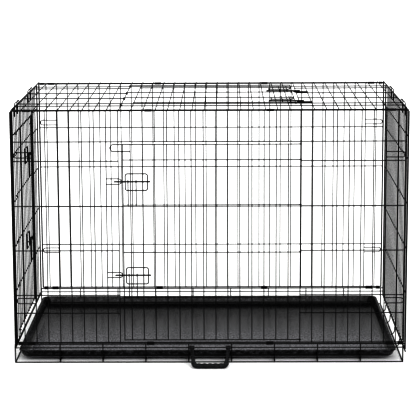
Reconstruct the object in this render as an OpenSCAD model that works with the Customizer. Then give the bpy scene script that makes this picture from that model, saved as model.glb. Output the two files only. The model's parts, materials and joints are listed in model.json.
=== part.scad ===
// Folding wire dog crate, 48 inch class, with a front, a left end and a top door.
// X runs along the length, the front faces -Y and Z is up. The crate stands on Z = 0, and the
// heights below are counted from the base's own zero, which the crate's stand lifts off the floor.

/* [Crate] */
// Length between the planes of the two end panels
crate_l = 1230; // [1180:2:1300]
// Depth between the planes of the front and back panels
crate_w = 780; // [740:2:820]
// Height of the top rails of the front and back panels
crate_h = 797; // [780:1:830]
// Height of the hinge line between the base and the front and back panels
hinge_h = 62; // [61:0.5:66]
// Height of the left end panel's hinge line
left_hinge_h = 48; // [46:0.5:50]
// Height of the right end panel's hinge line
right_hinge_h = 36; // [36:0.5:38]
// How far the bottom wires reach below the base's zero
stand = 3.5; // [3:0.5:4]
// Spacing of the upright wires
pitch = 37.6; // [37:0.1:38]

/* [Wire] */
// Radius of the panels' border rails
rail_r = 1.9; // [1.7:0.05:2]
// Radius of the panels' corner posts
post_r = 2.3; // [2:0.05:2.3]
// Radius of the upright wires
upright_r = 1.3; // [1:0.05:1.4]
// Radius of the cross wires
bar_r = 1.5; // [1.3:0.05:1.7]
// Radius of the loops, door wires and other bent trim
trim_r = 1.4; // [1.2:0.05:1.5]
// How far two welded wires sink into each other
weld = 0.35; // [0.2:0.05:0.5]

/* [Doors] */
// Width of the front and top door openings, in wire spacings
long_door_cells = 15; // [13:2:15]
// Width of the left end door opening, in wire spacings
end_door_cells = 12; // [10:2:12]
// Height of the top border of the front door opening
front_opening_top = 700.5; // [690:0.5:705]
// Height of the top border of the left end door opening
end_opening_top = 712; // [705:0.5:720]
// Half of the depth of the top door opening
top_opening_half = 278; // [270:1:290]
// Gap between a door's last wire and the opening's far border
door_gap = 14; // [13:0.5:16]

/* [Slide bolts] */
// Radius of a bolt's rod
bolt_r = 2.2; // [2:0.05:2.25]
// Width of a bolt's finger ring
ring_w = 69; // [60:1:72]
// Height of a bolt's finger ring
ring_h = 52; // [44:1:56]
// Radius of the finger ring's corners
ring_corner = 7; // [6:1:14]
// How far the ring stands out from the rod
ring_standoff = 8; // [7.5:0.5:10]

/* [Tray] */
// Height of the tray's walls
tray_h = 27; // [24:1:27]
// Thickness of the tray's floor and walls
tray_wall = 2.5; // [2:0.1:3.5]
// Length of the tray over its rim
tray_l = 1196; // [1100:2:1198]
// Depth of the tray over its rim
tray_w = 752; // [700:2:754]
// How far the walls slope in from the rim to the floor
tray_slope = 18; // [12:1:20]

/* [Carry handle] */
// Distance from the handle's pivot to the middle of its grip
handle_reach = 82; // [76:1:86]
// Radius of the grip
grip_r = 8; // [7:0.5:9]
// Distance between the middles of the two arms at the rail
handle_w = 115; // [104:1:115]

/* [Hidden] */

wire_colour = "#1b1b1d";
trim_colour = "#232326";
plastic_colour = "#141416";

half_l = crate_l / 2;
half_w = crate_w / 2;
// the front, back and top panels are a little shorter than the space between the end panels
panel_half = half_l - 7;
// half the width of an end panel, which folds in between the front and back panels
end_half = half_w - 10;
end_top = crate_h - 5.5;

// upright wires are welded to the outer side of the rails, cross wires to the uprights' inner side
upright_out = rail_r + upright_r - weld + 0.05;
bar_in = upright_r + bar_r - weld;
// distance between the middles of two rails that a clip holds side by side
rail_step = rail_r * 2 + 1.1;
base_rail_z = hinge_h - rail_step;
mid_rail_z = 45;
mid_rail_r = 1.5;
bottom_wire_r = 1.75;
bottom_z = bottom_wire_r - stand;

// heights of the cross wires
front_bar_z = [157.3, 215, 357.4, 498.5, 640];
back_bar_z = [219, 357, 501, 641.5];
end_bar_z = [215, 357, 500, 641];
// heights of the doors' wires, which close between the panels' own cross wires
front_door_z = [72, 209, 353, 503, 644.5, 692.7];
left_door_z = [62, 209, 353, 503, 644.5, 703];
top_door_v = [-266, -51, 101, 266];
top_door_short_v = [-187, 238];
top_wire_y = [72, 218];
bolt_z = [577, 281];
bolt_v = [226, -60];
post_foot_z = [503, 209];
post_foot_v = [101, -187];

long_open = long_door_cells * pitch;
end_open = end_door_cells * pitch;
long_half = long_open / 2;
end_open_half = end_open / 2;
// the top panel's cross wires stand this far beside the uprights, so that they pass each other
top_shift = 4;
// number of uprights on each side of the middle of a long panel, and of an end panel
long_side_count = floor((panel_half - 12) / pitch + 0.5);
end_side_count = floor((end_half - 30) / pitch);

top_rail_z = crate_h + 1;
top_rail_gap = 4.6;
top_cross_z = top_rail_z + rail_r + upright_r - weld - 0.05;
top_side_r = 2;
top_side_z = top_rail_z + rail_r + top_side_r - weld - 0.05;
top_long_z = top_cross_z - bar_in;
top_front_y = -half_w + top_rail_gap;
top_back_y = half_w + top_rail_gap;

// distances outward from a door's hinge wire
knuckle_r = upright_r + trim_r + 0.4;
door_upright_out = knuckle_r - trim_r - upright_r + weld;
catch_out = upright_r + trim_r - weld;
rod_out = catch_out + trim_r + bolt_r + 0.4;
guide_out = knuckle_r + 2 * trim_r - weld;
eye_r = bolt_r + trim_r + 0.4;
ring_out = rod_out + ring_standoff;
ring_wire_r = 1.6;
loop_half = 8.5;
stop_half = 10.85;

// the wires under the tray
floor_wire_r = 1.5;
wall_y = half_w - rail_r - floor_wire_r + weld;
mid_rail_y = wall_y + floor_wire_r + mid_rail_r - weld;
bottom_wire_y = wall_y + floor_wire_r + bottom_wire_r - weld;
cross_floor_z = bottom_z + bottom_wire_r + floor_wire_r - weld;
wall_first_x = 67.7;
wall_step = 135.4;
wall_side_count = 4;
long_floor_y = [79, 236];
long_floor_z = cross_floor_z + 2 * floor_wire_r - weld;
turned_up_x = half_l - rail_r - floor_wire_r + weld;
// the base's right feet and bottom wire stand in from the end rail
base_right = half_l - 8;
tray_z = long_floor_z + floor_wire_r + 0.35;
// the tray rests pushed towards the left end
tray_x = -9;

// the handle's grip lies on the floor at rest
handle_barrel = 16;
handle_barrel_r = 6.5;
handle_arm = 12;
handle_taper = 6.5;
handle_bore = mid_rail_r + 0.4;
handle_drop = asin((mid_rail_z + stand - grip_r - 0.4) / handle_reach);

// the hinge clips: places along X and lengths
clip_places = [[188, 22], [564, 22], [597, 13]];
clip_r = rail_r + 1.2;
clip_grip_r = rail_r - 0.1;
clip_run_r = rail_r + 0.35;
clip_open_r = rail_r + 0.5;

// the origin is under the middle of the whole crate, with the handle and the latches counted
reach_front = mid_rail_y + handle_reach * cos(handle_drop) + grip_r;
reach_back = top_back_y + clip_r;
reach_left = half_l + upright_out + ring_out + ring_wire_r;
hook_bend = 11;
hook_top = end_top + 1;
hook_out = upright_out + upright_r + trim_r - weld;
reach_right = half_l + hook_out + trim_r;
crate_place = [(reach_left - reach_right) / 2, (reach_front - reach_back) / 2, stand];

// ---- wires ----

module wire_x(x1, x2, y, z, r) translate([x1, y, z]) rotate([0, 90, 0]) cylinder(h = x2 - x1, r = r, $fn = 16);
module wire_y(y1, y2, x, z, r) translate([x, y2, z]) rotate([90, 0, 0]) cylinder(h = y2 - y1, r = r, $fn = 16);
module wire_z(z1, z2, x, y, r) translate([x, y, z1]) cylinder(h = z2 - z1, r = r, $fn = 16);

// a bend of the given angle about Z, from the +X side towards +Y
module bend(bend_r, r, angle) rotate_extrude(angle = angle, $fn = 40) translate([bend_r, 0]) circle(r = r, $fn = 16);

// a U of wire in an XZ plane: two legs from x1 to x2 and a round end past x2
module u_loop(x1, x2, y, z, half, r) {
  for (side = [-1, 1]) wire_x(x1, x2, y, z + side * half, r);
  translate([x2, y, z]) rotate([90, 0, 0]) rotate([0, 0, -90]) bend(half, r, 180);
}

// one upright at each spacing on both sides of the middle, with its lower end given by the opening
module row_of_uprights(count, open_half, low, open_low, high, y, shift = 0)
  for (side = [-1, 1], i = [0 : count - 1]) {
    x = side * (i + 0.5) * pitch;
    wire_z(abs(x) < open_half - 1 ? open_low : low, high, x + shift, y, upright_r);
  }

module in_place() translate(crate_place) children();

// ---- base ----

module base_rails() color(wire_colour) in_place()
  for (side = [-1, 1]) {
    wire_x(-half_l, half_l, side * half_w, base_rail_z, rail_r);
    wire_x(-half_l, half_l, side * mid_rail_y, mid_rail_z, mid_rail_r);
    wire_x(-half_l, base_right, side * bottom_wire_y, bottom_z, bottom_wire_r);
  }

module base_end_rails() color(wire_colour) in_place() {
  wire_y(-half_w, half_w, -half_l, left_hinge_h - rail_step, rail_r);
  wire_y(-half_w, half_w, half_l, right_hinge_h - rail_step, rail_r);
  for (x = [-half_l, base_right]) wire_y(-half_w, half_w, x, bottom_z, bottom_wire_r);
}

module base_uprights() color(wire_colour) in_place() {
  for (sx = [-1, 1], sy = [-1, 1]) {
    wire_z(bottom_z, base_rail_z, sx < 0 ? -half_l : base_right, sy * half_w, rail_r);
    for (i = [0 : wall_side_count - 1])
      wire_z(bottom_z, base_rail_z + 1.5, sx * (wall_first_x + i * wall_step), sy * wall_y, floor_wire_r);
  }
  for (y = long_floor_y, side = [-1, 1])
    wire_z(long_floor_z, right_hinge_h - rail_step + 1, turned_up_x, side * y, floor_wire_r);
}

module base_floor_cross_wires() color(wire_colour) in_place()
  for (side = [-1, 1], i = [0 : wall_side_count - 1])
    wire_y(-wall_y, wall_y, side * (wall_first_x + i * wall_step), cross_floor_z, floor_wire_r);

module base_floor_long_wires() color(wire_colour) in_place()
  for (side = [-1, 1], y = long_floor_y)
    wire_x(-half_l + 1.6, turned_up_x, side * y, long_floor_z, floor_wire_r);

// ---- tray ----

// one level of the tray: a slab with round corners, smaller by inset on every side
module tray_slab(inset, z, corner)
  for (sx = [-1, 1], sy = [-1, 1])
    translate([sx * (tray_l / 2 - inset - corner), sy * (tray_w / 2 - inset - corner), z])
      cylinder(h = 0.5, r = corner, $fn = 32);

module tray() color(plastic_colour) in_place() translate([tray_x, 0, tray_z]) difference() {
  union() {
    hull() {
      tray_slab(tray_slope, 0, 20);
      tray_slab(tray_slope - 8, 6, 23);
      tray_slab(3, tray_h - 5, 25);
    }
    hull() {
      tray_slab(0, tray_h - 5, 28);
      tray_slab(0, tray_h - 0.5, 28);
    }
  }
  hull() {
    tray_slab(tray_slope + 13, tray_wall, 14);
    tray_slab(tray_slope - 4, tray_wall + 8, 18);
    tray_slab(3 + tray_wall, tray_h + 1, 22);
  }
}

// ---- carry handle: a grip between two arms, with a barrel on each that turns on the middle rail ----

module cross_cylinder(middle, y, length, r)
  translate([middle - length / 2, y, 0]) rotate([0, 90, 0]) cylinder(h = length, r = r, $fn = 32);

module carry_handle() color(plastic_colour) in_place()
  translate([0, -mid_rail_y, mid_rail_z]) rotate([handle_drop, 0, 0]) difference() {
    union() {
      for (side = [-1, 1]) {
        cross_cylinder(side * handle_w / 2, 0, handle_barrel, handle_barrel_r);
        hull() {
          cross_cylinder(side * handle_w / 2, -2, handle_arm, 4);
          cross_cylinder(side * (handle_w / 2 - handle_taper), -handle_reach, handle_arm, 4);
        }
      }
      cross_cylinder(0, -handle_reach, handle_w - handle_taper * 2 + 8, grip_r);
    }
    cross_cylinder(0, 0, handle_w * 2, handle_bore);
  }

// ---- front panel ----

module front_rails() color(wire_colour) in_place()
  for (z = [hinge_h, crate_h]) wire_x(-panel_half, panel_half, -half_w, z, rail_r);

module front_posts() color(wire_colour) in_place()
  for (side = [-1, 1]) wire_z(hinge_h - 0.5, crate_h + 0.3, side * panel_half, -half_w, post_r);

module front_uprights() color(wire_colour) in_place()
  row_of_uprights(long_side_count, long_half, hinge_h - 1.5, front_opening_top - bar_r, crate_h + 1.5,
                  -half_w - upright_out);

module front_crossbars() color(wire_colour) in_place() {
  y = -half_w - upright_out + bar_in;
  wire_x(-panel_half, panel_half, y, front_opening_top, bar_r);
  for (z = front_bar_z) {
    wire_x(-panel_half, -long_half + upright_r, y, z, bar_r);
    wire_x(long_half - upright_r, panel_half, y, z, bar_r);
  }
}

// loops near the corners that the end panels' hooks reach round
module corner_loops(y)
  for (side = [-1, 1], z = [198, 660])
    mirror([side < 0 ? 1 : 0, 0, 0])
      u_loop(545.2 - upright_r, panel_half - 12, y, z, loop_half, trim_r);

module front_corner_loops() color(trim_colour) in_place()
  corner_loops(-half_w - upright_out - catch_out);

// ---- back panel ----

module back_rails() color(wire_colour) in_place()
  for (z = [hinge_h, crate_h]) wire_x(-panel_half, panel_half, half_w, z, rail_r);

module back_posts() color(wire_colour) in_place()
  for (side = [-1, 1]) wire_z(hinge_h - 0.5, crate_h + 0.3, side * panel_half, half_w, post_r);

// the back panel's uprights are on its inner side, so it folds down like the front panel
module back_uprights() color(wire_colour) in_place()
  row_of_uprights(long_side_count, 0, hinge_h - 1.5, 0, crate_h + 1.5, half_w - upright_out);

module back_crossbars() color(wire_colour) in_place()
  for (z = back_bar_z) wire_x(-panel_half, panel_half, half_w - upright_out + bar_in, z, bar_r);

module back_corner_loops() color(trim_colour) in_place()
  corner_loops(half_w - upright_out + catch_out);

// ---- top panel ----

module top_rails() color(wire_colour) in_place()
  for (y = [top_front_y, top_back_y]) wire_x(-panel_half, panel_half, y, top_rail_z, rail_r);

module top_side_rails() color(wire_colour) in_place()
  for (side = [-1, 1]) wire_y(top_front_y - 1, top_back_y + 1, side * panel_half, top_side_z, top_side_r);

module top_cross_wires() color(wire_colour) in_place()
  for (side = [-1, 1], i = [0 : long_side_count - 1]) {
    x = side * (i + 0.5) * pitch;
    if (abs(x) < long_half - 1) {
      wire_y(top_front_y - 1.4, -top_opening_half + bar_r, x + top_shift, top_cross_z, upright_r);
      wire_y(top_opening_half - bar_r, top_back_y + 1.4, x + top_shift, top_cross_z, upright_r);
    } else {
      wire_y(top_front_y - 1.4, top_back_y + 1.4, x + top_shift, top_cross_z, upright_r);
    }
  }

module top_long_wires() color(wire_colour) in_place() {
  for (side = [-1, 1]) {
    wire_x(-panel_half, panel_half, side * top_opening_half, top_long_z, bar_r);
    for (y = top_wire_y) {
      wire_x(-panel_half, -long_half + top_shift + upright_r, side * y, top_long_z, bar_r);
      wire_x(long_half + top_shift - upright_r, panel_half, side * y, top_long_z, bar_r);
    }
  }
}

// ---- end panels: drawn as the left one, with the outer side towards -X ----

module end_rails(low)
  for (z = [low, end_top]) wire_y(-end_half, end_half, 0, z, rail_r);

module end_posts(low)
  for (side = [-1, 1]) wire_z(low - 0.5, end_top + 0.3, 0, side * end_half, post_r);

module end_uprights(low, open_half)
  for (i = [-end_side_count : end_side_count])
    wire_z(abs(i * pitch) < open_half - 1 ? end_opening_top - bar_r : low - 1.5, end_top + 1.5,
           -upright_out, i * pitch, upright_r);

module end_crossbars(open_half) {
  wire_y(-end_half, end_half, bar_in - upright_out, end_opening_top, bar_r);
  for (z = end_bar_z) {
    if (open_half > 0) {
      wire_y(-end_half, -open_half + upright_r, bar_in - upright_out, z, bar_r);
      wire_y(open_half - upright_r, end_half, bar_in - upright_out, z, bar_r);
    } else {
      wire_y(-end_half, end_half, bar_in - upright_out, z, bar_r);
    }
  }
}

// a hook is a low arch of wire on two uprights, with one upright between them
module end_hooks()
  for (side = [-1, 1]) translate([-hook_out, side * 5 * pitch, 0]) {
    for (leg = [-1, 1]) {
      wire_z(end_top - 33, hook_top - hook_bend, 0, leg * pitch, trim_r);
      translate([0, leg * (pitch - hook_bend), hook_top - hook_bend])
        rotate([90, 0, 90]) rotate([0, 0, leg > 0 ? 0 : 90]) bend(hook_bend, trim_r, 90);
    }
    wire_y(-pitch + hook_bend, pitch - hook_bend, 0, hook_top, trim_r);
  }

module left_end() in_place() translate([-half_l, 0, 0]) children();
module right_end() in_place() translate([half_l, 0, 0]) mirror([1, 0, 0]) children();

module left_end_rails() color(wire_colour) left_end() end_rails(left_hinge_h);
module left_end_posts() color(wire_colour) left_end() end_posts(left_hinge_h);
module left_end_uprights() color(wire_colour) left_end() end_uprights(left_hinge_h, end_open_half);
module left_end_crossbars() color(wire_colour) left_end() end_crossbars(end_open_half);
module left_end_hooks() color(trim_colour) left_end() end_hooks();

module right_end_rails() color(wire_colour) right_end() end_rails(right_hinge_h);
module right_end_posts() color(wire_colour) right_end() end_posts(right_hinge_h);
module right_end_uprights() color(wire_colour) right_end() end_uprights(right_hinge_h, 0);
module right_end_crossbars() color(wire_colour) right_end() end_crossbars(0);
module right_end_hooks() color(trim_colour) right_end() end_hooks();

// ---- doors: drawn with the hinge wire on the Z axis, the door towards -X and its outer side to -Y ----

module door_uprights(open, low, high) {
  for (i = [1 : round(open / pitch) - 1]) wire_z(low, high, -i * pitch, -door_upright_out, upright_r);
  wire_z(low, high, -open + door_gap, -door_upright_out, upright_r);
}

module door_bars(open, heights)
  for (z = heights) wire_x(-open + door_gap - upright_r - 0.2, 0, -knuckle_r, z, trim_r);

module door_knuckles(heights)
  for (z = heights) translate([0, 0, z]) rotate([0, 0, -90]) bend(knuckle_r, trim_r, 270);

// the top bar runs on past the opening's border, turns back and stops the door there
module door_stop(open, z) {
  end_x = -open - 13.75;
  wire_x(end_x, -open + door_gap - upright_r - 0.2, -knuckle_r, z, trim_r);
  wire_x(end_x, -open + door_gap + 23.6, -knuckle_r, z - 2 * stop_half, trim_r);
  translate([end_x, -knuckle_r, z - stop_half]) rotate([90, 0, 0]) rotate([0, 0, 90]) bend(stop_half, trim_r, 180);
}

// two posts with an eye each, which carry one bolt
module bolt_guides(open, z, foot_z)
  for (x = [-open + 30, -open + 55]) {
    wire_z(foot_z - 2, z - eye_r + 0.3, x, -guide_out, trim_r);
    translate([x - trim_r, -rod_out, z]) rotate([0, 90, 0]) difference() {
      cylinder(h = 2 * trim_r, r = eye_r + trim_r, $fn = 32);
      translate([0, 0, -1]) cylinder(h = 2 * trim_r + 2, r = eye_r - trim_r, $fn = 32);
    }
  }

// a flat loop on two of the panel's uprights, which the end of the bolt slides over
module bolt_catch(open, z)
  u_loop(-open - pitch - upright_r, -open + 0.5, -catch_out, z, loop_half, trim_r);

// a straight rod with a finger ring on a short stem
module slide_bolt(open, z) {
  ring_x = -open + 91 - ring_w / 2;
  flat_w = ring_w / 2 - ring_corner;
  flat_h = ring_h / 2 - ring_corner;
  wire_x(-open - 13, -open + 99, -rod_out, z, bolt_r);
  wire_y(-ring_out, -rod_out, -open + 91, z, ring_wire_r);
  translate([ring_x, -ring_out, z]) {
    for (side = [-1, 1]) {
      wire_x(-flat_w, flat_w, 0, side * ring_h / 2, ring_wire_r);
      wire_z(-flat_h, flat_h, side * ring_w / 2, 0, ring_wire_r);
    }
    for (turn = [0 : 3]) {
      sx = turn == 0 || turn == 3 ? 1 : -1;
      sz = turn < 2 ? 1 : -1;
      translate([sx * flat_w, 0, sz * flat_h]) rotate([90, 0, 0]) rotate([0, 0, turn * 90])
        bend(ring_corner, ring_wire_r, 90);
    }
  }
}

module front_door() in_place() translate([long_half, -half_w - upright_out, 0]) children();
module left_door() in_place() translate([-half_l - upright_out, -end_open_half, 0]) rotate([0, 0, -90]) children();
module top_door() in_place() translate([-long_half + top_shift, 0, top_cross_z]) rotate([-90, 0, 180]) children();

module front_door_uprights() color(wire_colour) front_door() door_uprights(long_open, 70.5, 694.2);
module front_door_bars() color(wire_colour) front_door() door_bars(long_open, front_door_z);
module front_door_knuckles() color(wire_colour) front_door() door_knuckles(front_door_z);
module front_door_stop() color(trim_colour) front_door() door_stop(long_open, front_door_z[5]);
module front_door_guides() color(trim_colour) front_door()
  for (i = [0, 1]) bolt_guides(long_open, bolt_z[i], post_foot_z[i]);
module front_catches() color(trim_colour) front_door() for (z = bolt_z) bolt_catch(long_open, z);
module front_bolt_upper() color(trim_colour) front_door() slide_bolt(long_open, bolt_z[0]);
module front_bolt_lower() color(trim_colour) front_door() slide_bolt(long_open, bolt_z[1]);

module left_door_uprights() color(wire_colour) left_door() door_uprights(end_open, 60.5, 704.5);
module left_door_bars() color(wire_colour) left_door() door_bars(end_open, left_door_z);
module left_door_knuckles() color(wire_colour) left_door() door_knuckles(left_door_z);
module left_door_stop() color(trim_colour) left_door() door_stop(end_open, left_door_z[5]);
module left_door_guides() color(trim_colour) left_door()
  for (i = [0, 1]) bolt_guides(end_open, bolt_z[i], post_foot_z[i]);
module left_catches() color(trim_colour) left_door() for (z = bolt_z) bolt_catch(end_open, z);
module left_bolt_upper() color(trim_colour) left_door() slide_bolt(end_open, bolt_z[0]);
module left_bolt_lower() color(trim_colour) left_door() slide_bolt(end_open, bolt_z[1]);

module top_door_cross_wires() color(wire_colour) top_door() door_uprights(long_open, -267.5, 267.5);
module top_door_bars() color(wire_colour) top_door() {
  door_bars(long_open, top_door_v);
  for (z = top_door_short_v)
    wire_x(-long_open + door_gap - upright_r - 0.2, -pitch + upright_r + 0.2, -knuckle_r, z, trim_r);
}
module top_door_knuckles() color(wire_colour) top_door() door_knuckles(top_door_v);
module top_door_stop() color(trim_colour) top_door() door_stop(long_open, top_door_v[3]);
module top_door_guides() color(trim_colour) top_door()
  for (i = [0, 1]) bolt_guides(long_open, bolt_v[i], post_foot_v[i]);
module top_catches() color(trim_colour) top_door() for (z = bolt_v) bolt_catch(long_open, z);
module top_bolt_front() color(trim_colour) top_door() slide_bolt(long_open, bolt_v[0]);
module top_bolt_back() color(trim_colour) top_door() slide_bolt(long_open, bolt_v[1]);

// ---- hinge clips: bent sheet round two rails, tight on the first and free on the second ----

module clip_profile(step, run_r) difference() {
  union() {
    circle(r = clip_r, $fn = 32);
    translate([step, 0]) circle(r = clip_r, $fn = 32);
    translate([0, -clip_r]) square([step, 2 * clip_r]);
  }
  circle(r = clip_grip_r, $fn = 32);
  translate([step, 0]) circle(r = run_r, $fn = 32);
  translate([0, -clip_grip_r + 0.4]) square([step, 2 * clip_grip_r - 0.8]);
}

module hinge_clips(y, z, to_y, to_z, run_r)
  for (side = [-1, 1], place = clip_places)
    translate([side * place[0], y, z]) rotate([atan2(to_z - z, to_y - y), 0, 0]) rotate([90, 0, 90])
      linear_extrude(height = place[1], center = true)
        clip_profile(norm([to_y - y, to_z - z]), run_r);

module bottom_front_clips() color(trim_colour) in_place()
  hinge_clips(-half_w, base_rail_z, -half_w, hinge_h, clip_run_r);
module bottom_back_clips() color(trim_colour) in_place()
  hinge_clips(half_w, base_rail_z, half_w, hinge_h, clip_run_r);
module top_front_clips() color(trim_colour) in_place()
  hinge_clips(top_front_y, top_rail_z, -half_w, crate_h, clip_run_r);
module top_back_clips() color(trim_colour) in_place()
  hinge_clips(top_back_y, top_rail_z, half_w, crate_h, clip_open_r);

base_rails();
base_end_rails();
base_uprights();
base_floor_cross_wires();
base_floor_long_wires();
tray();
carry_handle();
front_rails();
front_posts();
front_uprights();
front_crossbars();
front_corner_loops();
back_rails();
back_posts();
back_uprights();
back_crossbars();
back_corner_loops();
top_rails();
top_side_rails();
top_cross_wires();
top_long_wires();
left_end_rails();
left_end_posts();
left_end_uprights();
left_end_crossbars();
left_end_hooks();
right_end_rails();
right_end_posts();
right_end_uprights();
right_end_crossbars();
right_end_hooks();
front_door_uprights();
front_door_bars();
front_door_knuckles();
front_door_stop();
front_door_guides();
left_door_uprights();
left_door_bars();
left_door_knuckles();
left_door_stop();
left_door_guides();
top_door_cross_wires();
top_door_bars();
top_door_knuckles();
top_door_stop();
top_door_guides();
front_catches();
left_catches();
top_catches();
front_bolt_upper();
front_bolt_lower();
left_bolt_upper();
left_bolt_lower();
top_bolt_front();
top_bolt_back();
bottom_front_clips();
bottom_back_clips();
top_front_clips();
top_back_clips();
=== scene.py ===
"""A folding wire dog crate with a pull-out tray, a carry handle and six slide bolts.

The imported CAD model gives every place: wires are read back from its nodes as centre lines with radii, and drawn again
as round wires with softened ends and weld beads. The tray and the handle are drawn as moulded plastic.
"""
import json
import math

import bpy
import numpy as np
from mathutils import Matrix, Vector


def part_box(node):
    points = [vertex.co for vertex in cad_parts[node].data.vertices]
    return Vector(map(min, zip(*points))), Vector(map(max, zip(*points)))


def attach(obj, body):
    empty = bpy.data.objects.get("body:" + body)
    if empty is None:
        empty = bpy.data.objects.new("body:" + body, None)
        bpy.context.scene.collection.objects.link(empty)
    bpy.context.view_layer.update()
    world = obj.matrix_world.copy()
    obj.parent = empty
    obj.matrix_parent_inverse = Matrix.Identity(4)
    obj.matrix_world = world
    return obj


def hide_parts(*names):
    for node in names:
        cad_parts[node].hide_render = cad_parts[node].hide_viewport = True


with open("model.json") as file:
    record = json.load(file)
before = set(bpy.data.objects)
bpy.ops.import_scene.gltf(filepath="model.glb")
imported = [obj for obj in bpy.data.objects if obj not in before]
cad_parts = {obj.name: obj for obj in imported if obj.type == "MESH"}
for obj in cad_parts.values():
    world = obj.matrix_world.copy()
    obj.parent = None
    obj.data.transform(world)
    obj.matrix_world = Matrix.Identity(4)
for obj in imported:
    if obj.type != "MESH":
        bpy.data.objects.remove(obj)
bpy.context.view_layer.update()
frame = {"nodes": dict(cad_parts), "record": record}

MM = 0.001
END_INSET = 0.4 * MM    # how far from its end a bent wire reaches its full radius
END_SHARE = 0.7         # share of the radius that is left at a wire's end
scene = bpy.context.scene


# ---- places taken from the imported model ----

def middle(*nodes):
    """Middle of the box round some CAD nodes, in metres."""
    low = np.min([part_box(node)[0] for node in nodes], axis=0)
    high = np.max([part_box(node)[1] for node in nodes], axis=0)
    return (low + high) / 2


centre = middle("front_rails", "back_rails")
centre[2] = 0.0
tray_low, tray_high = np.array(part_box("tray"))
handle_low = np.array(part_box("carry_handle")[0])
joints = {joint["name"]: joint for joint in frame["record"]["behaviour"]["joints"]}


# ---- camera ----

def aim_camera():
    """A camera 5.6 m in front of the crate, 1.4 m up and level with its sides, tilted down about ten degrees.

    Looking direction = (sin yaw * cos tilt, cos yaw * cos tilt, -sin tilt); the picture's right and up directions are
    perpendicular to it and then turned by the small roll."""
    yaw, tilt, roll = -0.0103, 0.1794, -0.0046
    ahead = Vector((math.sin(yaw) * math.cos(tilt), math.cos(yaw) * math.cos(tilt), -math.sin(tilt)))
    level = Vector((math.cos(yaw), -math.sin(yaw), 0.0))
    upward = level.cross(ahead)
    across = level * math.cos(roll) + upward * math.sin(roll)
    above = upward * math.cos(roll) - level * math.sin(roll)
    lens = bpy.data.cameras.new("camera")
    lens.lens = 147.08
    lens.sensor_width = 36.0
    lens.clip_end = 50.0
    camera = bpy.data.objects.new("camera", lens)
    turn = Matrix((across, above, -ahead)).transposed().to_4x4()
    camera.matrix_world = Matrix.Translation(Vector(centre) + Vector((0.04877, -5.58436, 1.43770))) @ turn
    scene.collection.objects.link(camera)
    scene.camera = camera


aim_camera()


# ---- meshes ----

def new_piece(name, points, faces, body, material, replaced=(), flat_from=None):
    """Puts points and faces into a mesh object that rides on a body. Faces are smooth up to flat_from."""
    mesh = bpy.data.meshes.new(name)
    corners = np.asarray(points, float).reshape(-1, 3).tolist()
    mesh.from_pydata(corners, [], [face for group in faces for face in group.tolist()])
    smooth = np.ones(len(mesh.polygons), bool)
    if flat_from is not None:
        smooth[flat_from:] = False
    mesh.polygons.foreach_set("use_smooth", smooth)
    mesh.update()
    piece = bpy.data.objects.new(name, mesh)
    scene.collection.objects.link(piece)
    mesh.materials.append(material)
    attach(piece, body)
    if replaced:
        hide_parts(*replaced)
    return piece


def unit(vectors):
    """Vectors divided by their lengths."""
    return vectors / np.linalg.norm(vectors, axis=-1, keepdims=True)


def sweep(paths, radii, sides, reference=None):
    """Round wires along k paths of n points.

    A point of ring i is path[i] + radius[i] * (cos a * side + sin a * up), where side is perpendicular to the path's
    direction and to a reference direction, up to both, and a goes once round in equal steps. Returns the
    points, the quads between neighbouring rings and the end caps."""
    paths = np.asarray(paths, float)
    count, rings = paths.shape[:2]
    along = unit(np.gradient(paths, axis=1))
    if reference is None:
        reference = np.where(np.abs(along[:, :1, 2:]) > 0.9, [[[1.0, 0.0, 0.0]]], [[[0.0, 0.0, 1.0]]])
    side = unit(np.cross(along, reference))
    up = np.cross(side, along)
    turn = np.arange(sides) * 2 * np.pi / sides
    points = paths[:, :, None] + radii[..., None, None] * (
        np.cos(turn)[:, None] * side[:, :, None] + np.sin(turn)[:, None] * up[:, :, None])
    index = np.arange(count * rings * sides).reshape(count, rings, sides)
    ahead = np.roll(index, -1, axis=2)
    quads = np.stack([index[:, :-1], index[:, 1:], ahead[:, 1:], ahead[:, :-1]], axis=-1).reshape(-1, 4)
    caps = np.concatenate([index[:, 0], index[:, -1, ::-1]])
    return points.reshape(-1, 3), quads, caps


def softened(start, end, radius):
    """Four rings for each straight wire: both ends are drawn in to 0.7 of the radius over the last 0.3 radii."""
    direction = unit(end - start)
    inset = 0.3 * radius[:, None] * direction
    paths = np.stack([start, start + inset, end - inset, end], axis=1)
    return paths, radius[:, None] * np.array([END_SHARE, 1.0, 1.0, END_SHARE])


def read_wires(node):
    """Start points, end points and radii of the straight wires of a CAD node.

    Corners at one place are merged, and every corner takes the lowest label among its neighbours until nothing
    changes, so each separate wire gets one label. A wire runs along its box's longest side through the mean of its
    corners, and its radius is their mean distance from that line."""
    mesh = frame["nodes"][node].data
    places = np.empty(len(mesh.vertices) * 3, np.float32)
    mesh.vertices.foreach_get("co", places)
    pairs = np.empty(len(mesh.edges) * 2, np.int32)
    mesh.edges.foreach_get("vertices", pairs)
    corners, index = np.unique(np.round(places.reshape(-1, 3), 6), axis=0, return_inverse=True)
    first, second = index.reshape(-1)[pairs.reshape(-1, 2)].T
    label = np.arange(len(corners))
    while True:
        lowest = label.copy()
        np.minimum.at(lowest, first, label[second])
        np.minimum.at(lowest, second, label[first])
        lowest = lowest[lowest]
        if (lowest == label).all():
            break
        label = lowest
    wire = np.unique(label, return_inverse=True)[1].reshape(-1)
    count = wire.max() + 1
    low, high, total = (np.full((count, 3), v) for v in (np.inf, -np.inf, 0.0))
    np.minimum.at(low, wire, corners)
    np.maximum.at(high, wire, corners)
    np.add.at(total, wire, corners)
    number = np.bincount(wire)
    mean = total / number[:, None]
    axis = np.argmax(high - low, axis=1)
    along = np.eye(3)[axis].astype(bool)
    radius = np.bincount(wire, np.linalg.norm(np.where(along[wire], 0.0, corners - mean[wire]), axis=1)) / number
    return np.where(along, low, mean), np.where(along, high, mean), radius


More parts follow.
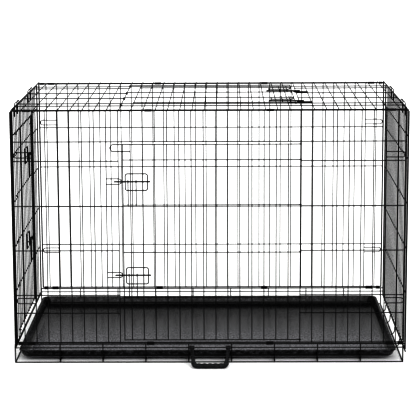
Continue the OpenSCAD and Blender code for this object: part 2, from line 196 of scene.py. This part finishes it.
# ---- materials ----

def finish(name):
    """A new material with its nodes, links, shader and the object's own coordinates."""
    material = bpy.data.materials.new(name)
    material.use_nodes = True
    nodes, links = material.node_tree.nodes, material.node_tree.links
    return material, nodes, links, nodes["Principled BSDF"], nodes.new("ShaderNodeTexCoord").outputs["Object"]


def noise(nodes, links, where, scale, detail=4.0):
    """Fractal noise of the given number of waves a metre."""
    texture = nodes.new("ShaderNodeTexNoise")
    texture.inputs["Scale"].default_value = scale
    texture.inputs["Detail"].default_value = detail
    links.new(where, texture.inputs["Vector"])
    return texture.outputs["Fac"]


def greys(nodes, links, value, dark, light, start=0.35, stop=0.7):
    """A value turned into a grey between dark and light."""
    ramp = nodes.new("ShaderNodeValToRGB")
    ramp.color_ramp.elements[0].position, ramp.color_ramp.elements[0].color = start, (dark, dark, dark * 1.04, 1)
    ramp.color_ramp.elements[1].position, ramp.color_ramp.elements[1].color = stop, (light, light, light * 1.04, 1)
    links.new(value, ramp.inputs["Fac"])
    return ramp.outputs["Color"]


def between(nodes, links, value, low, high):
    """A value moved from 0..1 to low..high."""
    span = nodes.new("ShaderNodeMapRange")
    span.inputs["To Min"].default_value, span.inputs["To Max"].default_value = low, high
    links.new(value, span.inputs["Value"])
    return span.outputs["Result"]


def bumped(nodes, links, height, strength, distance, under=None):
    """A bump of the given height in metres, on top of another bump."""
    bump = nodes.new("ShaderNodeBump")
    bump.inputs["Strength"].default_value = strength
    bump.inputs["Distance"].default_value = distance
    links.new(height, bump.inputs["Height"])
    if under is not None:
        links.new(under, bump.inputs["Normal"])
    return bump.outputs["Normal"]


def coated(name, dark, rough, specular=0.2):
    """Black baked coating on wire: near-black with faint cloudiness, satin gloss and a fine orange-peel bump."""
    material, nodes, links, shader, where = finish(name)
    cloud = noise(nodes, links, where, 60.0)
    links.new(greys(nodes, links, cloud, dark * 0.8, dark * 1.5), shader.inputs["Base Color"])
    links.new(between(nodes, links, cloud, rough - 0.06, rough + 0.08), shader.inputs["Roughness"])
    peel = noise(nodes, links, where, 900.0, 2.0)
    links.new(bumped(nodes, links, peel, 0.25, 0.0002), shader.inputs["Normal"])
    shader.inputs["Specular IOR Level"].default_value = specular
    return material


def moulded(name, dark, light, grain, rough, specular, relief=1.0, cloud_scale=9.0):
    """Black moulded plastic: a pebbled grain in bump and in shade, with scuffed and cleaner areas.

    The grain is a cell pattern of the given number of cells a metre over a finer noise, and relief scales its depth;
    large slow clouds change the gloss and the shade from place to place. Returns the material, its nodes and links,
    the shader and the shade."""
    material, nodes, links, shader, where = finish(name)
    cells = nodes.new("ShaderNodeTexVoronoi")
    cells.inputs["Scale"].default_value = grain
    links.new(where, cells.inputs["Vector"])
    speckle = noise(nodes, links, where, grain * 0.7, 6.0)
    cloud = noise(nodes, links, where, cloud_scale, 5.0)
    shade = multiplied(nodes, links, greys(nodes, links, speckle, dark, light, 0.38, 0.66),
                       greys(nodes, links, cloud, 0.75, 1.1, 0.3, 0.75))
    links.new(shade, shader.inputs["Base Color"])
    links.new(between(nodes, links, cloud, rough * 0.7, rough * 1.4), shader.inputs["Roughness"])
    pebble = bumped(nodes, links, cells.outputs["Distance"], 0.35 * relief, 0.0006)
    links.new(bumped(nodes, links, speckle, 0.5 * relief, 0.0006, pebble), shader.inputs["Normal"])
    shader.inputs["Specular IOR Level"].default_value = specular
    return material, nodes, links, shader, shade


def multiplied(nodes, links, first, second):
    """Two colours multiplied."""
    mix = nodes.new("ShaderNodeMix")
    mix.data_type = "RGBA"
    mix.blend_type = "MULTIPLY"
    mix.inputs["Factor"].default_value = 1.0
    links.new(first, mix.inputs["A"])
    links.new(second, mix.inputs["B"])
    return mix.outputs["Result"]


def tray_plastic():
    """The tray's plastic: grained, with dusty flecks on the walls, a dark band of painted shade round the foot of the
    walls, and a floor with painted shade and reflection: darker at the back and paler in front.

    Height above the tray's underside parts floor from walls; the floor's painted shade and reflection rise evenly from
    its back edge to its front edge, and flecks of 8 to 15 mm show where two noises are both high."""
    material, nodes, links, shader, shade = moulded("tray_plastic", 0.005, 0.028, 420.0, 0.17, 0.3, 0.4)
    where = next(node for node in nodes if node.type == "TEX_COORD").outputs["Object"]
    place = nodes.new("ShaderNodeSeparateXYZ")
    links.new(where, place.inputs["Vector"])

    def along(output, start, stop, low, high):
        span = nodes.new("ShaderNodeMapRange")
        span.interpolation_type = "SMOOTHSTEP"
        for name, value in (("From Min", start), ("From Max", stop), ("To Min", low), ("To Max", high)):
            span.inputs[name].default_value = value
        links.new(place.outputs[output], span.inputs["Value"])
        return span.outputs["Result"]

    def times(first, second):
        product = nodes.new("ShaderNodeMath")
        product.operation = "MULTIPLY"
        links.new(first, product.inputs[0])
        links.new(second, product.inputs[1])
        return product.outputs["Value"]

    # painted shade and reflection: the floor is darkest near the back wall and grows paler towards the front
    floor_painted_shade = along("Y", tray_high[1] - 0.12, tray_low[1] - 0.1, 0.5, 14.0)
    wall = along("Z", tray_low[2] + 10 * MM, tray_low[2] + 13 * MM, 0.0, 1.0)
    floor = along("Z", tray_low[2] + 2.5 * MM, tray_low[2] + 5 * MM, 1.0, 0.0)
    flecks = between(nodes, links, noise(nodes, links, where, 75.0, 8.0), -6.0, 8.5)
    patches = between(nodes, links, noise(nodes, links, where, 14.0, 3.0), 0.3, 2.2)
    # between 5 and 10 mm up neither mask holds, so the foot of the walls stays at the 0.08 minimum: painted shade in
    # the crease and at the rounded bottom edge
    level = nodes.new("ShaderNodeMath")
    level.operation = "ADD"
    links.new(times(times(wall, flecks), patches), level.inputs[0])
    links.new(times(floor, floor_painted_shade), level.inputs[1])
    above = nodes.new("ShaderNodeMath")
    above.operation = "MAXIMUM"
    above.inputs[1].default_value = 0.08
    links.new(level.outputs["Value"], above.inputs[0])
    tone = nodes.new("ShaderNodeCombineColor")
    for channel in ("Red", "Green", "Blue"):
        links.new(above.outputs["Value"], tone.inputs[channel])
    links.new(multiplied(nodes, links, shade, tone.outputs["Color"]), shader.inputs["Base Color"])
    return material


wire_finish = coated("coated_wire", 0.004, 0.5)
latch_finish = coated("latch_wire", 0.004, 0.42)
clip_finish = coated("clip_steel", 0.003, 0.5)
tray_finish = tray_plastic()
handle_finish = moulded("handle_plastic", 0.003, 0.06, 400.0, 0.5, 0.3, 1.0, 30.0)[0]


# ---- straight wires and their welds ----

body_of = {node: body for body, nodes in frame["record"]["behaviour"]["bodies"].items() for node in nodes}
STRAIGHT = ("_rails", "_posts", "_uprights", "_crossbars", "_cross_wires", "_long_wires", "_door_bars")
straight_nodes = [node for node in body_of if node.endswith(STRAIGHT)]
wires = {node: read_wires(node) for node in straight_nodes}


def weld_beads(start, end, radius):
    """Small flattened drops of metal where two wires of one body touch, as one set of points and faces.

    Two wires cross where their centre lines are perpendicular and less than the sum of their radii apart. The drop is
    an ellipsoid between them: point = place + half-axes * (cos b * cos a, cos b * sin a, sin b), with b from
    -90 to 90 and a once round. It is wide along both wires and thin across the gap."""
    axis = np.argmax(np.abs(end - start), axis=1)
    i, j = np.triu_indices(len(start), 1)
    crossing = axis[i] != axis[j]
    i, j = i[crossing], j[crossing]
    across = 3 - axis[i] - axis[j]
    row = np.arange(len(i))
    gap = np.abs(start[i, across] - start[j, across])
    place = np.zeros((len(i), 3))
    place[row, axis[i]] = start[j, axis[i]]
    place[row, axis[j]] = start[i, axis[j]]
    share = radius[i] / (radius[i] + radius[j])
    place[row, across] = start[i, across] * (1 - share) + start[j, across] * share
    margin = 1.2 * MM
    touching = gap < radius[i] + radius[j]
    touching &= gap > 0.5 * (radius[i] + radius[j])
    touching &= (place[row, axis[i]] > start[i, axis[i]] - margin) & (place[row, axis[i]] < end[i, axis[i]] + margin)
    touching &= (place[row, axis[j]] > start[j, axis[j]] - margin) & (place[row, axis[j]] < end[j, axis[j]] + margin)
    place, across, size = place[touching], across[touching], np.minimum(radius[i], radius[j])[touching]
    halves = np.repeat(size[:, None] * 1.15, 3, axis=1)
    halves[np.arange(len(place)), across] = size * 0.62
    a = np.arange(8) * np.pi / 4
    b = np.radians([-54.0, -18.0, 18.0, 54.0])
    ring = np.stack([np.cos(b)[:, None] * np.cos(a), np.cos(b)[:, None] * np.sin(a),
                     np.repeat(np.sin(b)[:, None], 8, axis=1)], axis=-1).reshape(-1, 3)
    drop = np.concatenate([ring, [[0, 0, -1], [0, 0, 1]]])
    points = place[:, None] + halves[:, None] * drop
    first = np.arange(8)
    after = (first + 1) % 8
    bands = np.concatenate([np.stack([k * 8 + first, k * 8 + after, k * 8 + 8 + after, k * 8 + 8 + first], axis=-1)
                            for k in range(3)])
    fans = np.concatenate([np.stack([after, first, np.full(8, 32)], axis=-1),
                           np.stack([24 + first, 24 + after, np.full(8, 33)], axis=-1)])
    shift = np.arange(len(place))[:, None, None] * 34
    return points.reshape(-1, 3), (bands + shift).reshape(-1, 4), (fans + shift).reshape(-1, 3)


def bent_floor_wires():
    """The long floor wires with their right ends turned up in a round bend.

    Each path runs straight, then round a quarter circle of 18 mm from level to upright, then up to the end rail."""
    start, end, radius = wires["base_floor_long_wires"]
    up_start, up_end, _ = wires["base_uprights"]
    turned = np.abs(up_start[:, 1] - centre[1]) < 0.3
    corner_x, top_z, level = up_start[turned, 0][0], up_end[turned, 2][0], start[0, 2]
    bend = 18 * MM
    a = np.linspace(0, np.pi / 2, 9)
    x = np.concatenate([[start[0, 0], start[0, 0] + END_INSET], corner_x - bend + bend * np.sin(a),
                        [corner_x, corner_x]])
    z = np.concatenate([[level, level], level + bend - bend * np.cos(a), [top_z - END_INSET, top_z]])
    paths = np.stack([np.broadcast_to(x, (len(start), len(x))), np.repeat(start[:, 1:2], len(x), axis=1),
                      np.broadcast_to(z, (len(start), len(x)))], axis=-1)
    radii = np.repeat(radius[:, None], len(x), axis=1)
    radii[:, [0, -1]] *= END_SHARE
    keep = ~turned
    wires["base_uprights"] = tuple(part[keep] for part in wires["base_uprights"])
    return sweep(paths, radii, 12, np.array([[[0.0, 1.0, 0.0]]]))


points, quads, caps = bent_floor_wires()
new_piece("base_floor_long_wires_drawn", points, (quads, caps), "base", wire_finish,
          ["base_floor_long_wires"], len(quads))
for node in straight_nodes:
    if node != "base_floor_long_wires":
        points, quads, caps = sweep(*softened(*wires[node]), sides=12)
        new_piece(node + "_drawn", points, (quads, caps), body_of[node], wire_finish, [node],
                  len(quads))

for body in sorted(set(body_of[node] for node in straight_nodes)):
    start, end, radius = (np.concatenate([wires[node][k] for node in straight_nodes if body_of[node] == body])
                          for k in range(3))
    points, bands, fans = weld_beads(start, end, radius)
    new_piece(body + "_welds", points, (bands, fans), body, wire_finish)


# ---- hooks at the tops of the end panels ----

def arches(node, outward):
    """Two loops of wire that rise on the end panel and curl inward over the top panel's side rail.

    The flat loop is two legs joined by a half superellipse: y = 37.6 mm * sign(cos a) * |cos a|^0.6 and
    height = leg + 34.5 mm * |sin a|^0.75. The part above the panel's top is then bent inward round a quarter circle of
    10 mm: x moves in by 10 mm * (1 - cos t) and z rises by 10 mm * sin t, where t is the height above the bend
    divided by 10 mm."""
    low, high = np.array(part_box(node))
    radius = (high[0] - low[0]) / 2
    x = (high[0] + low[0]) / 2
    half = 37.6 * MM
    a = np.linspace(0, np.pi, 41)
    y = half * np.sign(np.cos(a)) * np.abs(np.cos(a)) ** 0.6
    bend_z = high[2] + 1.0 * MM
    leg_top = bend_z - 19.5 * MM
    height = leg_top + 34.5 * MM * np.sin(a) ** 0.75
    y = np.concatenate([[half, half], y, [-half, -half]])
    height = np.concatenate([[low[2], low[2] + END_INSET], height, [low[2] + END_INSET, low[2]]])
    t = np.clip((height - bend_z) / (10 * MM), 0, None)
    path = np.stack([x - outward * 10 * MM * (1 - np.cos(t)), y,
                     np.minimum(height, bend_z) + 10 * MM * np.sin(np.minimum(t, np.pi / 2))], axis=-1)
    middle_y = centre[1] + np.array([-188.0, 188.0]) * MM
    paths = path + np.stack([0 * middle_y, middle_y, 0 * middle_y], axis=-1)[:, None]
    radii = np.full(paths.shape[:2], radius)
    radii[:, [0, -1]] *= END_SHARE
    return sweep(paths, radii, 12, np.array([[[1.0, 0.0, 0.0]]]))


for node, outward in (("left_end_hooks", -1.0), ("right_end_hooks", 1.0)):
    points, quads, caps = arches(node, outward)
    new_piece(node + "_drawn", points, (quads, caps), body_of[node], wire_finish, [node], len(quads))


# ---- tray ----

def skin(rings, steps):
    """The quads between neighbouring closed rings of points, and the caps over the first and the last ring."""
    index = np.arange(rings * steps).reshape(rings, steps)
    ahead = np.roll(index, -1, axis=1)
    quads = np.stack([index[:-1], index[1:], ahead[1:], ahead[:-1]], axis=-1).reshape(-1, 4)
    return quads, np.stack([index[0], index[-1, ::-1]])


def rounded_outline(half_x, half_y, corner, steps):
    """Points round a rectangle with round corners, anticlockwise from above.

    Each corner is a quarter circle, point = corner centre + radius * (cos a, sin a), and the straight sides run
    between them. half_x, half_y and corner may be arrays of one value for each ring."""
    a = (np.arange(4)[:, None] * np.pi / 2 + np.linspace(0, np.pi / 2, steps)).ravel()
    sx = np.repeat([1, -1, -1, 1], steps)
    sy = np.repeat([1, 1, -1, -1], steps)
    half_x, half_y, corner = (np.asarray(v, float)[..., None] for v in (half_x, half_y, corner))
    return sx * (half_x - corner) + corner * np.cos(a), sy * (half_y - corner) + corner * np.sin(a)


def tray_shell():
    """The tray as one profile carried round its rounded rectangle, with a flat floor inside and underneath.

    The profile is a list of (inset, height) from the floor's middle, over the rounded foot of the wall, the wall, the
    rim and its lip, down the outside to the underside. The corner radius shrinks from 28 mm at the rim by
    0.45 of the inset."""
    tall = (tray_high[2] - tray_low[2]) / MM
    a = np.linspace(0, 1, 7)
    foot_in = np.stack([31 - 14.5 * np.sin(a * np.pi / 2) ** 1.3, 2.6 + 9 * (1 - np.cos(a * np.pi / 2))], axis=-1)
    foot_out = np.stack([10 + 8 * np.cos(a * np.pi / 2) ** 1.2, 7 * (1 - np.cos(a * np.pi / 2)) + 0.3], axis=-1)
    profile = np.concatenate([
        [(70, 2.5), (34, 2.5)], foot_in,
        [(7.0, tall - 1.6), (6.6, tall - 0.7), (6.0, tall - 0.15), (5.4, tall), (1.2, tall), (0.45, tall - 0.3),
         (0.1, tall - 1.0), (0.0, tall - 1.6), (0.0, tall - 4.6), (0.2, tall - 5.0), (0.6, tall - 5.1),
         (2.4, tall - 5.1), (3.0, tall - 5.4), (3.3, tall - 6.2)],
        foot_out[::-1], [(19.5, 0.0), (70, 0.0)]])
    inset, height = profile.T * MM
    half = (tray_high - tray_low) / 2
    mid = (tray_high + tray_low) / 2
    corner = 28 * MM - 0.45 * np.minimum(inset, 34 * MM)
    x, y = rounded_outline(half[0] - inset, half[1] - inset, corner, 13)
    points = np.stack([mid[0] + x, mid[1] + y, np.broadcast_to((tray_low[2] + height)[:, None], x.shape)], axis=-1)
    return points.reshape(-1, 3), *skin(*x.shape)


points, quads, caps = tray_shell()
new_piece("tray_moulding", points, (quads, caps), "tray", tray_finish, ["tray"], len(quads))


# ---- carry handle ----

def handle_frame():
    """The handle's pivot, its direction towards the grip and the direction out of its face, at rest."""
    pivot = np.array(joints["carry_handle_swing"]["pos_m"])
    grip = np.array([pivot[0], handle_low[1] + 8 * MM, handle_low[2] + 8 * MM])
    reach = np.linalg.norm(grip - pivot)
    down = (grip - pivot) / reach
    return pivot, reach, down, np.cross([1.0, 0.0, 0.0], down)


def handle_bow():
    """Both arms and the grip as one moulded bow: an oval section carried along a U.

    The U runs down one arm, round a corner of 12 mm and along the grip. The section's outer half-width is 5.6 mm on
    the arms and 7.3 mm on the grip, with a smooth step between; along the grip its inner half-width also swells and
    dips, by 1.5 mm * cos, for the fingers. Its half-thickness goes from 3.6 mm to 7.1 mm in the same way.
    Section point = path + half-width * c(a) * outward + half-thickness * s(a) * face, where c and s are the cosine
    and sine raised to 0.8."""
    pivot, reach, down, face = handle_frame()
    top, bottom, bend = 57.5 * MM, 51.0 * MM, 12 * MM
    drop = np.linspace(3 * MM, reach - bend, 9)
    arm = np.stack([top + (bottom - top) * drop / reach, drop], axis=-1)
    turn = np.linspace(0, np.pi / 2, 9)[1:-1]
    foot = np.stack([bottom - bend + bend * np.cos(turn), reach - bend + bend * np.sin(turn)], axis=-1)
    grip = np.stack([np.linspace(bottom - bend, 0, 40), np.full(40, reach)], axis=-1)
    half = np.concatenate([arm, foot, grip])
    flat = np.concatenate([half, half[-2::-1] * [-1, 1]])
    along = unit(np.gradient(flat, axis=0))
    outward = np.stack([along[:, 1], -along[:, 0]], axis=-1)
    step = np.clip((flat[:, 1] - (reach - 2.2 * bend)) / (1.6 * bend), 0, 1)
    step = step * step * (3 - 2 * step)
    outer = (5.6 + 1.7 * step) * MM
    fingers = np.where(np.abs(flat[:, 0]) < bottom - bend, np.cos(flat[:, 0] / (17.2 * MM) * 2 * np.pi), 0.0)
    inner = (5.6 + 2.2 * step + 1.5 * step * fingers) * MM
    thick = (3.6 + 3.5 * step) * MM
    a = np.arange(20) * np.pi / 10
    c, s = (np.sign(v) * np.abs(v) ** 0.8 for v in (np.cos(a), np.sin(a)))
    width = np.where(c > 0, outer[:, None], inner[:, None]) * c
    in_plane = flat[:, None] + width[..., None] * outward[:, None]
    proud = (thick[:, None] * s)[..., None] * face
    points = pivot + in_plane[..., :1] * [1.0, 0.0, 0.0] + in_plane[..., 1:] * down + proud
    return points.reshape(-1, 3), *skin(*width.shape)


def handle_barrels():
    """The two barrels that turn on the base's middle rail: rings with rounded rims, a profile turned about its line.

    Profile points are (place along the rail, radius), from the bore over the rim and the outside back to the bore."""
    pivot = handle_frame()[0]
    profile = np.array([(-8, 1.95), (-8, 5.2), (-7.7, 6.0), (-7, 6.45), (-6.2, 6.5), (6.2, 6.5), (7, 6.45),
                        (7.7, 6.0), (8, 5.2), (8, 1.95)]) * MM
    a = np.arange(24) * np.pi / 12
    ring = np.stack([np.repeat(profile[:, :1], 24, axis=1), profile[:, 1:] * np.cos(a),
                     profile[:, 1:] * np.sin(a)], axis=-1)
    places = pivot + np.array([[-57.5, 0, 0], [57.5, 0, 0]]) * MM
    points = places[:, None, None] + ring
    index = np.arange(2 * ring.shape[0] * 24).reshape(2, -1, 24)
    ahead = np.roll(index, -1, axis=2)
    after, after_ahead = np.roll(index, -1, axis=1), np.roll(ahead, -1, axis=1)
    quads = np.stack([index, after, after_ahead, ahead], axis=-1).reshape(-1, 4)
    return points.reshape(-1, 3), quads[:, ::-1]


points, quads, caps = handle_bow()
new_piece("carry_handle_bow", points, (quads, caps), "carry_handle", handle_finish,
          ["carry_handle"])
points, quads = handle_barrels()
new_piece("carry_handle_barrels", points, (quads,), "carry_handle", handle_finish)

finish_of = {"coated_wire": wire_finish, "latch_wire": latch_finish, "clip_steel": clip_finish,
             "tray_plastic": tray_finish, "handle_plastic": handle_finish}
for part in frame["record"]["subparts"]:
    material = finish_of[part["material_slot"]]
    mesh = frame["nodes"][part["node"]].data
    mesh.materials.clear()
    mesh.materials.append(material)


# ---- floor and light ----

def floor_and_light():
    """A wide white floor under an even white sky, a broad soft lamp behind and a stronger one in front."""
    mesh = bpy.data.meshes.new("floor")
    mesh.from_pydata([(-30, -30, 0), (30, -30, 0), (30, 30, 0), (-30, 30, 0)], [], [(0, 1, 2, 3)])
    floor = bpy.data.objects.new("floor", mesh)
    scene.collection.objects.link(floor)
    material = bpy.data.materials.new("floor_white")
    material.use_nodes = True
    shader = material.node_tree.nodes["Principled BSDF"]
    shader.inputs["Base Color"].default_value = (0.95, 0.95, 0.95, 1)
    shader.inputs["Roughness"].default_value = 1.0
    shader.inputs["Specular IOR Level"].default_value = 0.0
    mesh.materials.append(material)
    world = bpy.data.worlds.new("sky")
    scene.world = world
    world.use_nodes = True
    world.node_tree.nodes["Background"].inputs["Color"].default_value = (1, 1, 1, 1)
    world.node_tree.nodes["Background"].inputs["Strength"].default_value = 0.9
    for name, direction, spread, power in (("lamp_behind", (0.1, -0.62, -0.78), 50.0, 0.8),
                                           ("lamp_front", (-0.25, 0.74, -0.62), 50.0, 2.2)):
        lamp = bpy.data.lights.new(name, "SUN")
        lamp.angle = math.radians(spread)
        lamp.energy = power
        holder = bpy.data.objects.new(name, lamp)
        holder.rotation_euler = Vector(direction).to_track_quat("-Z", "Y").to_euler()
        scene.collection.objects.link(holder)
    scene.view_settings.view_transform = "Standard"
    scene.view_settings.gamma = 0.5


floor_and_light()
